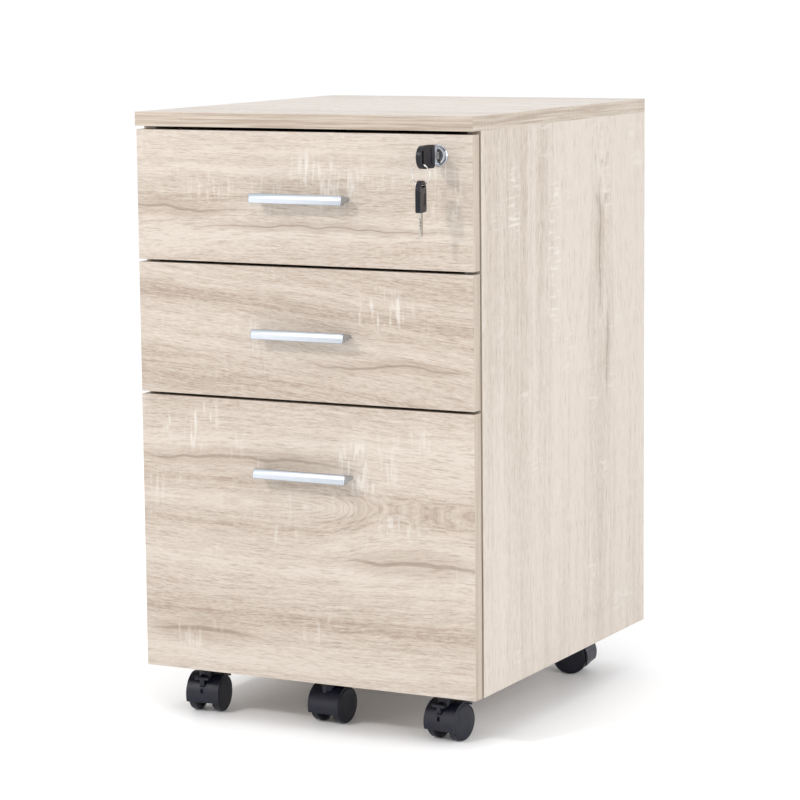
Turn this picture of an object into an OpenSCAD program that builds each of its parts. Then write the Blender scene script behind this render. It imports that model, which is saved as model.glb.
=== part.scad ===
// Rolling pedestal cabinet: two box drawers, one file drawer, a front lock and five twin-wheel
// casters. The frame's origin is on the floor under the centre of the overall box, +Z is up,
// the drawers open towards -Y and +X is to the right as seen from the front. Units are mm.

/* [Cabinet] */
// Width over the top panel
cabinet_w = 400; // [385:5:420]
// Depth of the top panel, front edge to back edge
cabinet_d = 440; // [435:5:500]
// Height of the top surface above the floor
cabinet_h = 655; // [645:5:700]
// Height of the boards' lower edges above the floor
floor_gap = 55; // [55:1:60]
// Thickness of the outer boards and the drawer fronts
board_t = 15; // [14:0.5:16]

/* [Drawers] */
// Height of the top drawer front
top_front_h = 138; // [134:1:142]
// Height of the middle drawer front
middle_front_h = 139.5; // [136:0.5:144]
// Gap between two neighbouring drawer fronts
front_gap = 3; // [2:0.5:4]
// Gap between the top panel and the top drawer front
top_gap = 3.5; // [2:0.5:5]
// Length of the drawer boxes behind their fronts
box_l = 385; // [370:5:390]
// Thickness of the drawer walls
wall_t = 12; // [11:0.5:13]
// Length of the telescopic rails
rail_l = 350; // [300:10:350]

/* [Handles] */
// Length of the handle bars
handle_l = 110; // [108:1:130]
// Height of the handle bars
handle_h = 10; // [9:0.5:13]
// Distance of the handles' middle to the right of the fronts' middle
handle_shift = 4; // [0:0.5:8]
// Distance that the handles stand out from the fronts
handle_reach = 22; // [20:1:26]

/* [Lock] */
// Distance from the cabinet's right edge to the lock's axis
lock_inset = 40; // [38:0.5:42]
// Distance from the top front's upper edge to the lock's axis
lock_drop = 21; // [19:0.5:22]
// Distance that the inserted key stands out from the cabinet's front
key_reach = 43; // [41:1:45]

/* [Casters] */
// Radius of the caster wheels
wheel_r = 20; // [19:0.5:20]
// Distance from each side of the cabinet to the caster kingpins
caster_inset_x = 54; // [50:1:60]
// Distance from the front edge of the bottom board to the front kingpins
caster_inset_front = 18; // [18:1:24]
// Distance from the back of the cabinet to the rear kingpins
caster_inset_back = 57; // [45:1:70]

/* [Hidden] */

$fn = 64;
TOP = 0;
MIDDLE = 1;
BOTTOM = 2;
cut = 1;               // how far a cutting solid runs past the face that it cuts
fit = 0.1;             // radial clearance round fasteners in their holes

// Keys, drawn with the blade along -X, the bow along +X and the width along Y
bow_l = 32;
bow_w = 23.5;
bow_t = 5.2;
bow_r = 11;
bow_rear_r = 3;
blade_l = 24;
blade_w = 7.6;
blade_t = 1.8;
bite_count = 5;
bite_w = 2.2;
bite_step = 0.3;       // the bites come in three widths, this much apart
bite_pitch = 3.4;
first_bite = 4;        // distance of the first bite from the blade's tip
bow_panel_d = 0.5;     // depth of the recessed panels on the bow's sides
slot_from_end = 5.5;
slot_l = 14.5;
slot_w = 3.2;
keyway_fit = 0.15;
ring_r = 10.9;
ring_turn = -8;        // the ring hangs turned by this angle about the vertical
wire_r = 0.6;
spare_turn = 11.5;     // the spare key hangs turned by this angle about the vertical
spare_slot_gap = 0.25; // the ring's wire sits this far above the middle of the spare's slot
// How far the spare key, hanging turned on its ring, stands out from the cabinet's front
spare_reach = key_reach - slot_from_end + (bow_w * cos(spare_turn) + bow_t * sin(spare_turn)) / 2;

// Boards
front_setback = 1;     // the drawer fronts stand this far behind the top panel's edge
side_reveal = 1;       // the drawer fronts are this much narrower on each side
bumper_gap = 2;        // air between the fronts' backs and the side panels' edges
half_w = cabinet_w / 2;
front_y = -(cabinet_d - spare_reach) / 2;
back_y = front_y + cabinet_d;
face_y = front_y + front_setback;
box_y = face_y + board_t;
carcass_y = box_y + bumper_gap;
back_recess = 1;
back_inner_y = back_y - back_recess - board_t;
top_z = cabinet_h - board_t;
inner_x = half_w - board_t;
notch_w = 64;          // opening in the bottom board for the centre caster's block
notch_l = 60;

// Drawer boxes
rail_space = 12.75;    // room for one telescopic rail beside each drawer box
box_x = inner_x - rail_space;
box_rear_y = box_y + box_l;
base_t = 5;
groove_d = 5;          // how far the bases sit in the walls' grooves
groove_lift = 5;       // height of the grooves above the walls' lower edges
top_front_z = top_z - top_gap - top_front_h;
middle_front_z = top_front_z - front_gap - middle_front_h;
bottom_front_h = middle_front_z - front_gap - floor_gap;
front_z = [top_front_z, middle_front_z, floor_gap];
front_h = [top_front_h, middle_front_h, bottom_front_h];
wall_z = [top_front_z + 15, middle_front_z + 16, floor_gap + board_t + 3];
wall_h = [84, 100, 250];
rail_z = [wall_z[TOP] + 30, wall_z[MIDDLE] + 30, wall_z[BOTTOM] + 77];
handle_drop = [68.2, 69.2, 74.2];
back_wall_screw_end = 15;
file_rail_t = 2;
file_rail_h = 12;      // height of the folders' rails above the walls
file_rail_grip = 8;    // how far they reach down inside the walls
file_rail_gap = 4;

// Telescopic rail sections, measured from the side panel's inner face
steel_t = 1.2;
rail_setback = 32;     // the cabinet rails start this far behind the side panels' edges
rail_y = carcass_y + rail_setback;
outer_half_h = 22.5;
outer_tip = 9.5;
middle_web = 3;
middle_half_h = 19;
middle_tip = 11;
inner_half_h = 15.3;
inner_tip = 5.5;
lip_h = 3;
rail_screw_ys = [30, 130, 290];

// Knock-down fittings
cam_r = 7.5;
cam_depth = 11;
cam_set = 34;          // distance from a cam's centre to the joint
bolt_r = 3;
bolt_grip = 10;        // depth that bolts and dowels reach into the facing board
dowel_r = 4;
dowel_l = 30;
joint_ys = [carcass_y + 45, back_inner_y - 65];
dowel_ys = [carcass_y + 85, back_inner_y - 105];
back_joint_zs = [floor_gap + 120, top_z - 90];
back_dowel_zs = [floor_gap + 200, top_z - 170];

// Drawer fittings
small_cam_r = 6;
small_cam_depth = 9;
small_cam_set = 24;
small_bolt_r = 2.5;
small_cam_end = 18;    // distance of the cams from the walls' upper and lower edges
handle_pitch = 96;
handle_screw_depth = 9;
screw_r = 1.7;
screw_l = 11;
screw_head_r = 3.4;
screw_head_t = 1.5;

// Handle section
bar_t = 7.5;
bar_front_r = 12;
leg_w = 12;
leg_root_h = 6;
leg_flare = 0.6;       // share of the legs' length at which they reach the bar's full height

// Lock
lock_x = half_w - lock_inset;
lock_z = top_front_z + top_front_h - lock_drop;
barrel_r = 9.5;
barrel_tail = 7;       // length of the barrel behind the drawer front
bezel_r = 11.2;
bezel_reach = 4;       // how far the bezel stands out from the drawer front
plug_r = 6;
running_fit = 0.05;
plug_face = 4.6;       // how far the plug's face stands out from the drawer front
drive_disc_r = 8.4;
drive_disc_t = 1.5;
pin_r = 2;
pin_throw = 6;         // distance of the drive pin from the lock's axis
pin_l = 8.5;
plug_end_play = 0.2;   // air between the barrel's end and the plug's drive disc
pin_angle = 45;        // the pin starts this far below the level through the axis
bow_start = key_reach + front_setback - bow_l;
ring_drop = 6.3;       // height of the lock's axis above the ring's uppermost wire
ring_z = lock_z - ring_drop - ring_r;
ring_y = front_y - key_reach + slot_from_end;

// Lock bar, on the right-hand side panel
bar_gap = 0.3;
bar_thick = 2.1;
bar_w = 15;
bar_y = carcass_y + 3;
arm_t = 2;
arm_y = box_y + barrel_tail + 4;
arm_h = 14;
arm_slot_l = 9;
arm_slot_fit = 0.35;   // clearance of the drive pin in the arm's slot
arm_overlap = 8;       // the arm runs this far past the pin's path
bar_tail = 2;          // the bar's lower end stands this far below the lowest rail's middle height
stud_w = 6;
stud_h = 6;
stud_l = 7;
stud_drop = 23;        // unlocked studs start this far above the rails' middle height
catch_drop = 30;       // the drawers' catches start this far above the rails' middle height
catch_h = 8;
catch_l = 8;
catch_y = bar_y + bar_w + 1;
guide_h = 18;
guide_t = 1.3;
guide_side = 3;        // width of the guides on each side of the bar
guide_fit = 0.3;
guide_zs = [rail_z[BOTTOM] + 100, wall_z[TOP] - 34];

// Casters
plate_w = 30;
plate_t = 2;
plate_z = floor_gap - plate_t;
plate_hole_inset = 4.5;
kingpin_r = 3;
kingpin_bottom = 28;
trail = 9;             // distance from the kingpin to the axle
axle_r = 2.5;
axle_l = 33;
hood_gap = 1;          // between the hood and the plate
hood_r = wheel_r + 2.5;
hood_inner_r = wheel_r + 0.8;
hood_w = 38;
core_w = 15;
boss_r = 8;
hub_r = 6.5;
skirt_angle = 20;      // the hood's front skirt ends this far below the axle's level
open_angle = 52;       // the hood's rear edge stands this far above the axle's level
wheel_inner = 9.3;
wheel_outer = 18.5;
kingpin_x = half_w - caster_inset_x;
front_kingpin_y = carcass_y + caster_inset_front;
rear_kingpin_y = back_y - caster_inset_back;
centre_kingpin_y = carcass_y + caster_inset_front + 12;
block_w = 56;
block_l = 56;
pedal_w = 16;
pedal_stem_w = 5;
bar_low = 38;          // lower and upper edge of the pedal's cross bar
bar_high = 41.5;
pedal_pivot_y = -15;   // from the axle
pedal_pivot_z = 31;    // above the floor
pedal_pin_r = 1.5;
pedal_slot_w = 6;
pedal_slot_low = 29.7;
pedal_slot_depth = 2.8; // how far the slot runs behind the pedal's pin
pedal_pocket_low = 27.3; // room for the lever round its pin, behind the cover
pedal_pocket_y = -18.2;
window_w = 3.7;        // opening below the pedal
window_low = 23;
window_high = 28;
window_depth = 4;
tongue_w = 5;          // blanking tongue on the hoods without a pedal
tongue_low = 37;
tongue_reach = 17.5;   // from the axle
boss_reach = 2;        // how far the boss reaches down into the cover
core_low = 24;         // lowest point of the kingpin's socket
FRONT_LEFT = [-kingpin_x, front_kingpin_y, 6.5];
FRONT_RIGHT = [kingpin_x, front_kingpin_y, -8.5];
REAR_LEFT = [-kingpin_x, rear_kingpin_y, 158];
REAR_RIGHT = [kingpin_x, rear_kingpin_y, 98];
CENTRE = [0, centre_kingpin_y, -4];

// ---- Helpers ------------------------------------------------------------------------------

module both_sides() {
    children();
    mirror([1, 0, 0]) children();
}

// A box given by its lowest and highest corners
module block(low, high) {
    translate(low) cube(high - low);
}

// Extrudes an outline drawn in Y and Z along X
module along_x(l) {
    rotate([90, 0, 90]) linear_extrude(l, center = true) children();
}

// Turns a solid drawn along +Z so that it points to the front, with its base at y
module facing_front(x, y, z) {
    translate([x, y, z]) rotate([90, 0, 0]) children();
}

// ---- Joints between the outer boards ------------------------------------------------------

// Local frame of each cam: origin on the board's face, +Z out of the face, +X to the joint
module at_cams() {
    both_sides() {
        for (y = joint_ys) {
            translate([inner_x, y, top_z - cam_set]) rotate([0, -90, 0]) children();
            translate([inner_x - cam_set, y, floor_gap + board_t]) children();
        }
        for (z = back_joint_zs)
            translate([inner_x - cam_set, back_inner_y, z]) rotate([90, 0, 0]) children();
    }
}

// Local frame of each dowel: origin on the joint, +X into the board that it mostly sits in
module at_dowels() {
    both_sides() {
        for (y = dowel_ys) {
            translate([half_w - board_t / 2, y, top_z]) rotate([0, 90, 0]) children();
            translate([inner_x, y, floor_gap + board_t / 2]) rotate([0, 0, 180]) children();
        }
        for (z = back_dowel_zs)
            translate([inner_x, back_inner_y + board_t / 2, z]) rotate([0, 0, 180]) children();
    }
}

module cam_cylinder(r, depth) {
    translate([0, 0, -depth]) cylinder(r = r, h = depth);
}

module cam_bolt_shaft(r, thickness, from_x, to_x) {
    translate([from_x, 0, -thickness / 2]) rotate([0, 90, 0]) cylinder(r = r, h = to_x - from_x);
}

module cam_nut() {
    difference() {
        cam_cylinder(cam_r, cam_depth);
        cam_bolt_shaft(bolt_r + 0.8, board_t, 0, cam_r + cut);
        for (a = [0, 90])
            rotate([0, 0, a + 45]) translate([-4, -0.6, -2]) cube([8, 1.2, 2 + cut]);
    }
}

module cam_bolt() {
    cam_bolt_shaft(bolt_r, board_t, 2, cam_set + bolt_grip);
}

module board_voids() {
    at_cams() {
        cam_cylinder(cam_r + fit, cam_depth + fit);
        cylinder(r = cam_r + fit, h = cut);
        cam_bolt_shaft(bolt_r + fit, board_t, 0, cam_set + bolt_grip + fit);
    }
    at_dowels() translate([-bolt_grip - fit, 0, 0])
        rotate([0, 90, 0]) cylinder(r = dowel_r + fit, h = dowel_l + 2 * fit);
}

// ---- Outer boards -------------------------------------------------------------------------

module top_panel() {
    color("burlywood") difference() {
        block([-half_w, front_y, top_z], [half_w, back_y, cabinet_h]);
        board_voids();
    }
}

module side_panel() {
    color("burlywood") difference() {
        block([inner_x, carcass_y, floor_gap], [half_w, back_y, top_z]);
        board_voids();
        at_cabinet_rail_screws() screw_hole();
    }
}

module back_panel() {
    color("burlywood") difference() {
        block([-inner_x, back_inner_y, floor_gap], [inner_x, back_inner_y + board_t, top_z]);
        board_voids();
    }
}

module bottom_panel() {
    color("burlywood") difference() {
        block([-inner_x, carcass_y, floor_gap], [inner_x, back_inner_y, floor_gap + board_t]);
        block([-notch_w / 2, carcass_y - cut, floor_gap - cut],
            [notch_w / 2, carcass_y + notch_l, floor_gap + board_t + cut]);
        board_voids();
        at_cabinet_casters() at_plate_screws() screw_hole();
    }
}

module cam_nuts() {
    color("silver") at_cams() cam_nut();
}

module cam_bolts() {
    color("silver") at_cams() cam_bolt();
}

module wooden_dowels() {
    color("tan") at_dowels() translate([-bolt_grip, 0, 0])
        rotate([0, 90, 0]) cylinder(r = dowel_r, h = dowel_l);
}

// ---- Screws -------------------------------------------------------------------------------

// A screw with its head's underside at the origin and its shank along -Z
module screw(l = screw_l) {
    translate([0, 0, -l]) cylinder(r = screw_r, h = l + screw_head_t / 2, $fn = 24);
    difference() {
        cylinder(r = screw_head_r, h = screw_head_t, $fn = 32);
        for (a = [0, 90])
            rotate([0, 0, a]) translate([-1.8, -0.35, screw_head_t - 0.7]) cube([3.6, 0.7, cut]);
    }
}

module screw_hole(l = screw_l) {
    translate([0, 0, -l - fit]) cylinder(r = screw_r + fit, h = l + fit + cut, $fn = 24);
}

module at_cabinet_rail_screws() {
    both_sides() for (i = [TOP:BOTTOM], y = rail_screw_ys)
        translate([inner_x - steel_t, rail_y + y, rail_z[i]]) rotate([0, -90, 0]) children();
}

module at_plate_screws() {
    d = plate_w / 2 - plate_hole_inset;
    for (x = [-d, d], y = [-d, d])
        translate([x, y, plate_z]) rotate([180, 0, 0]) children();
}

module at_cabinet_casters() {
    for (c = [FRONT_LEFT, FRONT_RIGHT, REAR_LEFT, REAR_RIGHT])
        translate([c[0], c[1], 0]) children();
}

module cabinet_screws() {
    color("silver") {
        at_cabinet_rail_screws() screw();
        at_cabinet_casters() at_plate_screws() screw();
    }
}

// ---- Telescopic rails ---------------------------------------------------------------------

// A lipped channel with its web at web_u and its open side towards tip_u
module channel(web_u, tip_u, half_h) {
    depth = abs(tip_u - web_u);
    translate([web_u, 0]) mirror([tip_u < web_u ? 1 : 0, 0]) difference() {
        translate([0, -half_h]) square([depth, 2 * half_h]);
        translate([steel_t, steel_t - half_h])
            square([depth - 2 * steel_t, 2 * (half_h - steel_t)]);
        translate([steel_t, lip_h - half_h]) square([depth, 2 * (half_h - lip_h)]);
    }
}

// Runs a section along a rail on the left side, from the given distance ahead of rail_y
module left_rail(i, ahead = 0) {
    translate([-inner_x, rail_y + rail_l, rail_z[i]])
        rotate([90, 0, 0]) linear_extrude(rail_l + ahead) children();
}

module cabinet_rails() {
    color("lightslategray") difference() {
        both_sides() for (i = [TOP:BOTTOM]) left_rail(i) channel(0, outer_tip, outer_half_h);
        at_cabinet_rail_screws() screw_hole();
    }
}

module sliding_rails(i) {
    color("silver") both_sides() left_rail(i) channel(middle_web, middle_tip, middle_half_h);
}

// The drawer's own rails; the right-hand one carries the catch for the lock bar
module drawer_rails(i) {
    color("lightslategray") difference() {
        union() {
            both_sides() left_rail(i, rail_y - catch_y)
                channel(rail_space, inner_tip, inner_half_h);
            block([box_x, catch_y, rail_z[i] + inner_half_h - steel_t],
                [box_x + steel_t, catch_y + catch_l, rail_z[i] + catch_drop + catch_h]);
            block([box_x, catch_y, rail_z[i] + catch_drop],
                [box_x + stud_l, catch_y + catch_l, rail_z[i] + catch_drop + catch_h]);
        }
        at_drawer_rail_screws(i) screw_hole();
    }
}

// ---- Drawers ------------------------------------------------------------------------------

module at_drawer_rail_screws(i) {
    both_sides() for (y = rail_screw_ys)
        translate([box_x + steel_t, rail_y + y, rail_z[i]]) rotate([0, 90, 0]) children();
}

// Local frame of the cams in the walls: +Z out of the wall's inner face, +X to the front
module at_wall_cams(i) {
    both_sides() for (z = [small_cam_end + 6, wall_h[i] - small_cam_end])
        translate([box_x - wall_t, box_y + small_cam_set, wall_z[i] + z])
            rotate([90, 0, -90]) mirror([1, 0, 0]) children();
}

module at_back_wall_screws(i) {
    both_sides() for (z = [small_cam_end + 6, wall_h[i] - small_cam_end])
        translate([box_x - screw_head_t, box_rear_y - wall_t / 2, wall_z[i] + z])
            rotate([0, 90, 0]) children();
}

module at_handle_screws(i) {
    for (x = [-handle_pitch / 2, handle_pitch / 2])
        translate([handle_shift + x, box_y, handle_z(i)]) rotate([-90, 0, 0]) children();
}

function handle_z(i) = front_z[i] + front_h[i] - handle_drop[i];

back_screw_l = wall_t + back_wall_screw_end;
handle_screw_l = board_t + handle_screw_depth;

module wall_voids(i) {
    at_wall_cams(i) {
        cam_cylinder(small_cam_r + fit, small_cam_depth + fit);
        cylinder(r = small_cam_r + fit, h = cut);
        cam_bolt_shaft(small_bolt_r + fit, wall_t, 0, small_cam_set + bolt_grip + fit);
    }
    at_back_wall_screws(i) {
        screw_hole(back_screw_l);
        cylinder(r = screw_head_r + fit, h = screw_head_t + cut);
    }
    at_drawer_rail_screws(i) screw_hole();
}

module drawer_front(i) {
    color("burlywood") difference() {
        block([side_reveal - half_w, face_y, front_z[i]],
            [half_w - side_reveal, box_y, front_z[i] + front_h[i]]);
        at_handle_screws(i) screw_hole(handle_screw_l);
        wall_voids(i);
        if (i == TOP)
            facing_front(lock_x, box_y + cut, lock_z)
                cylinder(r = barrel_r + fit, h = board_t + 2 * cut);
    }
}

module base_solid(i, allowance) {
    x = box_x - wall_t + groove_d;
    z = wall_z[i] + groove_lift;
    block([-x - allowance, box_y, z - allowance],
        [x + allowance, box_rear_y - wall_t + groove_d + allowance, z + base_t + allowance]);
}

module right_wall(i) {
    color("wheat") difference() {
        block([box_x - wall_t, box_y, wall_z[i]], [box_x, box_rear_y, wall_z[i] + wall_h[i]]);
        base_solid(i, fit);
        wall_voids(i);
    }
}

module back_wall(i) {
    x = box_x - wall_t;
    color("wheat") difference() {
        block([-x, box_rear_y - wall_t, wall_z[i]], [x, box_rear_y, wall_z[i] + wall_h[i]]);
        base_solid(i, fit);
        wall_voids(i);
    }
}

module drawer_base(i) {
    color("wheat") base_solid(i, 0);
}

module handle(i) {
    bar_back = handle_reach - bar_t;
    leg_bend = bar_back * leg_flare;
    leg_end = bar_back + 1;
    half_h = handle_h / 2;
    half_root = leg_root_h / 2;
    color("gainsboro") translate([handle_shift, face_y, handle_z(i)]) difference() {
        union() {
            along_x(handle_l) mirror([1, 0]) intersection() {
                translate([bar_back, -half_h]) square([bar_t, handle_h]);
                translate([handle_reach - bar_front_r, 0]) circle(r = bar_front_r);
            }
            both_sides() translate([(handle_l - leg_w) / 2, 0, 0])
                along_x(leg_w) mirror([1, 0]) polygon([[0, -half_root], [0, half_root],
                    [leg_bend, half_h], [leg_end, half_h], [leg_end, -half_h],
                    [leg_bend, -half_h]]);
        }
        both_sides() translate([handle_pitch / 2, 0, 0]) rotate([90, 0, 0])
            translate([0, 0, -cut])
            cylinder(r = screw_r + fit, h = handle_screw_depth + fit + cut, $fn = 24);
    }
}

module drawer_fasteners(i) {
    color("silver") {
        at_handle_screws(i) screw(handle_screw_l);
        at_drawer_rail_screws(i) screw();
        at_back_wall_screws(i) screw(back_screw_l);
        at_wall_cams(i) {
            difference() {
                cam_cylinder(small_cam_r, small_cam_depth);
                cam_bolt_shaft(small_bolt_r + 0.8, wall_t, 0, small_cam_r + cut);
            }
            cam_bolt_shaft(small_bolt_r, wall_t, 2, small_cam_set + bolt_grip);
        }
    }
}

// Rails on the file drawer's side walls, which hanging folders hook over
module hanging_file_rails() {
    top = wall_z[BOTTOM] + wall_h[BOTTOM];
    w = wall_t + file_rail_t + 1;
    color("dimgray") both_sides()
        translate([box_x - wall_t, box_rear_y - wall_t - file_rail_gap, top])
            rotate([90, 0, 0]) linear_extrude(box_l - wall_t - 3 * file_rail_gap) difference() {
                translate([-file_rail_t, -file_rail_grip])
                    square([w, file_rail_grip + file_rail_h]);
                translate([0, -file_rail_grip - cut])
                    square([w - file_rail_t + cut, file_rail_grip + cut]);
                translate([1, file_rail_t]) square([w, file_rail_h]);
            }
}

module centre_caster_block() {
    color("burlywood") difference() {
        block([-block_w / 2, box_y, floor_gap],
            [block_w / 2, box_y + block_l, wall_z[BOTTOM] + groove_lift]);
        translate([CENTRE[0], CENTRE[1], 0]) at_plate_screws() screw_hole();
    }
}

// ---- Lock ---------------------------------------------------------------------------------

module lock_housing() {
    color("silver") facing_front(lock_x, face_y, lock_z) rotate_extrude() difference() {
        union() {
            translate([0, -board_t - barrel_tail]) square([barrel_r, board_t + barrel_tail]);
            polygon([[0, 0], [bezel_r, 0], [bezel_r, 0.9], [10.4, 1.7], [9.6, 1.7], [8.8, 3.4],
                [7.6, bezel_reach], [0, bezel_reach]]);
        }
        translate([-cut, -board_t - barrel_tail - cut])
            square([plug_r + running_fit + cut, board_t + barrel_tail + bezel_reach + 2 * cut]);
    }
}

module lock_plug() {
    disc_top = -board_t - barrel_tail - plug_end_play;
    disc_low = disc_top - drive_disc_t;
    keyway_w = blade_w + 2 * keyway_fit;
    keyway_t = blade_t + 2 * keyway_fit;
    color("silver") facing_front(lock_x, face_y, lock_z) difference() {
        union() {
            translate([0, 0, disc_low]) cylinder(r = plug_r, h = plug_face - disc_low);
            translate([0, 0, disc_low]) cylinder(r = drive_disc_r, h = drive_disc_t);
            translate([-pin_throw * cos(pin_angle), -pin_throw * sin(pin_angle), disc_top - pin_l])
                cylinder(r = pin_r, h = pin_l);
        }
        translate([-keyway_t / 2, -keyway_w / 2, bow_start - blade_l - 0.5])
            cube([keyway_t, keyway_w, plug_face + blade_l]);
    }
}

// A rounded rectangle from x = 0 to l with its own corner radius at each end
module bow_outline() {
    difference() {
        union() {
            for (s = [-1, 1]) {
                translate([bow_rear_r, s * (bow_w / 2 - bow_rear_r)]) circle(r = bow_rear_r);
                translate([bow_l - bow_r, s * (bow_w / 2 - bow_r)]) circle(r = bow_r);
            }
            translate([bow_rear_r, -bow_w / 2]) square([bow_l - bow_r - bow_rear_r, bow_w]);
            translate([0, bow_rear_r - bow_w / 2]) square([bow_l / 2, bow_w - 2 * bow_rear_r]);
            translate([bow_l / 2, bow_r - bow_w / 2]) square([bow_l / 2, bow_w - 2 * bow_r]);
        }
        translate([bow_l - slot_from_end, 0]) {
            square([slot_w, slot_l - slot_w], center = true);
            for (s = [-1, 1])
                translate([0, s * (slot_l - slot_w) / 2]) circle(r = slot_w / 2);
        }
    }
}

module blade_outline() {
    difference() {
        translate([-blade_l, -blade_w / 2]) square([blade_l + bow_rear_r, blade_w]);
        for (k = [0:bite_count - 1], s = [-1, 1]) {
            size_index = (2 * k + (s + 1) / 2) % 3;
            translate([first_bite - blade_l + bite_pitch * k, s * blade_w / 2])
                rotate([0, 0, 45]) square(bite_w - bite_step * size_index, center = true);
        }
    }
}

module key_shape() {
    difference() {
        union() {
            linear_extrude(bow_t, center = true) bow_outline();
            linear_extrude(blade_t, center = true) blade_outline();
        }
        for (s = [-1, 1])
            translate([7, 4 - bow_w / 2, s * bow_t / 2 - bow_panel_d])
                cube([12, bow_w - 8, 2 * bow_panel_d]);
    }
}

// The key in the lock: bow towards the front, width vertical
module key() {
    color("dimgray") translate([lock_x, face_y - bow_start, lock_z])
        rotate([0, 0, -90]) rotate([90, 0, 0]) key_shape();
}

module key_ring() {
    color("silver") translate([lock_x, ring_y, ring_z]) rotate([90, 0, ring_turn])
        rotate_extrude() translate([ring_r, 0]) circle(r = wire_r, $fn = 24);
}

// The spare key hangs on the ring with its blade downwards
module spare_key() {
    wire_z = ring_z - ring_r;
    color("dimgray") translate([lock_x, ring_y, wire_z - spare_slot_gap])
        rotate([0, 0, spare_turn]) rotate([0, -90, 0])
            translate([slot_from_end - bow_l, 0, 0]) key_shape();
}

// ---- Lock bar -----------------------------------------------------------------------------

module lock_bar() {
    low_z = rail_z[BOTTOM] - bar_tail;
    stud_end_y = bar_y + bar_w - 1;
    slot_r = pin_r + arm_slot_fit;
    slot_half = arm_slot_l / 2 - pin_r;
    slot_z = lock_z - pin_throw * sin(pin_angle);
    slot_x = lock_x - pin_throw * (1 + cos(pin_angle)) / 2;
    arm_end = lock_x - pin_throw - arm_overlap;
    color("gray") difference() {
        union() {
            block([inner_x - bar_gap - bar_thick, bar_y, low_z],
                [inner_x - bar_gap, bar_y + bar_w, slot_z + arm_h / 2]);
            block([arm_end, arm_y, slot_z - arm_h / 2],
                [inner_x - bar_gap, arm_y + arm_t, slot_z + arm_h / 2]);
            for (i = [TOP:BOTTOM])
                block([inner_x - bar_gap - bar_thick - stud_l, stud_end_y - stud_w,
                    rail_z[i] + stud_drop],
                    [inner_x - bar_gap, stud_end_y, rail_z[i] + stud_drop + stud_h]);
        }
        translate([slot_x, arm_y - cut, slot_z]) rotate([-90, 0, 0]) {
            for (x = [-slot_half, slot_half])
                translate([x, 0, 0]) cylinder(r = slot_r, h = arm_t + 2 * cut);
            translate([-slot_half, -slot_r, 0])
                cube([2 * slot_half, 2 * slot_r, arm_t + 2 * cut]);
        }
    }
}

// Clips that hold the lock bar against the side panel
module lock_bar_guides() {
    high_u = bar_gap + bar_thick + guide_fit;
    color("white") for (z = guide_zs) difference() {
        block([inner_x - high_u - guide_t, bar_y - guide_side, z],
            [inner_x, bar_y + bar_w + guide_side, z + guide_h]);
        block([inner_x - high_u, bar_y - guide_fit, z - cut],
            [inner_x + cut, bar_y + bar_w + guide_fit, z + guide_h + cut]);
    }
}

// ---- Casters ------------------------------------------------------------------------------

module at_caster(c) {
    translate([c[0], c[1], 0]) rotate([0, 0, c[2]]) children();
}

module caster_plate() {
    d = plate_w / 2 - plate_hole_inset;
    difference() {
        block([-plate_w / 2, -plate_w / 2, plate_z], [plate_w / 2, plate_w / 2, floor_gap]);
        for (x = [-d, d], y = [-d, d])
            translate([x, y, plate_z - cut])
                cylinder(r = screw_r + fit, h = plate_t + 2 * cut, $fn = 24);
    }
    translate([0, 0, kingpin_bottom])
        cylinder(r = kingpin_r, h = plate_z + plate_t / 2 - kingpin_bottom);
}

module caster_plates() {
    color("dimgray") at_cabinet_casters() caster_plate();
}

module centre_caster_plate() {
    color("dimgray") translate([CENTRE[0], CENTRE[1], 0]) {
        caster_plate();
        at_plate_screws() screw();
    }
}

// The part of a circle round the axle that the hood covers, drawn in Y and Z
module hood_sector(r) {
    reach = 2 * r;
    intersection() {
        circle(r = r);
        polygon([[0, 0], [-reach * cos(skirt_angle), -reach * sin(skirt_angle)], [-reach, reach],
            [0, reach], [reach * cos(open_angle), reach * sin(open_angle)]]);
    }
}

// Fills the place of the pedal on a caster without a brake
module hood_tongue() {
    block([-tongue_w / 2, trail - tongue_reach, tongue_low],
        [tongue_w / 2, trail - tongue_reach + 8, plate_z - hood_gap - 2]);
    facing_front(0, trail - tongue_reach + 8, tongue_low) cylinder(r = tongue_w / 2, h = 8);
}

module hood(braked) {
    hood_top = plate_z - hood_gap;
    boss_low = wheel_r + hood_r - boss_reach;
    front = trail - hood_r - cut;
    slot_end = trail + pedal_pivot_y + pedal_slot_depth;
    difference() {
        union() {
            translate([0, trail, wheel_r]) {
                along_x(hood_w) difference() {
                    hood_sector(hood_r);
                    circle(r = hood_inner_r);
                }
                along_x(core_w) {
                    hood_sector(hood_inner_r + 0.5);
                    circle(r = hub_r);
                }
            }
            translate([0, 0, core_low]) cylinder(r = core_w / 2, h = hood_top - core_low);
            translate([0, 0, boss_low]) cylinder(r = boss_r, h = hood_top - boss_low);
            if (!braked) hood_tongue();
        }
        translate([0, 0, kingpin_bottom - 0.5])
            cylinder(r = kingpin_r + running_fit, h = floor_gap);
        translate([0, trail, wheel_r]) rotate([0, 90, 0])
            cylinder(r = axle_r + running_fit, h = hood_w, center = true);
        if (braked) {
            block([-pedal_slot_w / 2, front, pedal_slot_low],
                [pedal_slot_w / 2, slot_end, hood_top - 9]);
            block([-pedal_slot_w / 2, trail + pedal_pocket_y, pedal_pocket_low],
                [pedal_slot_w / 2, slot_end, pedal_pivot_z]);
            block([-window_w / 2, front, window_low],
                [window_w / 2, front + window_depth, window_high]);
            translate([0, trail + pedal_pivot_y, pedal_pivot_z]) rotate([0, 90, 0])
                cylinder(r = pedal_pin_r + running_fit, h = core_w - 3, center = true, $fn = 32);
        }
    }
}

module caster_hood(c, braked) {
    color("darkslategray") at_caster(c) hood(braked);
}

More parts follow.
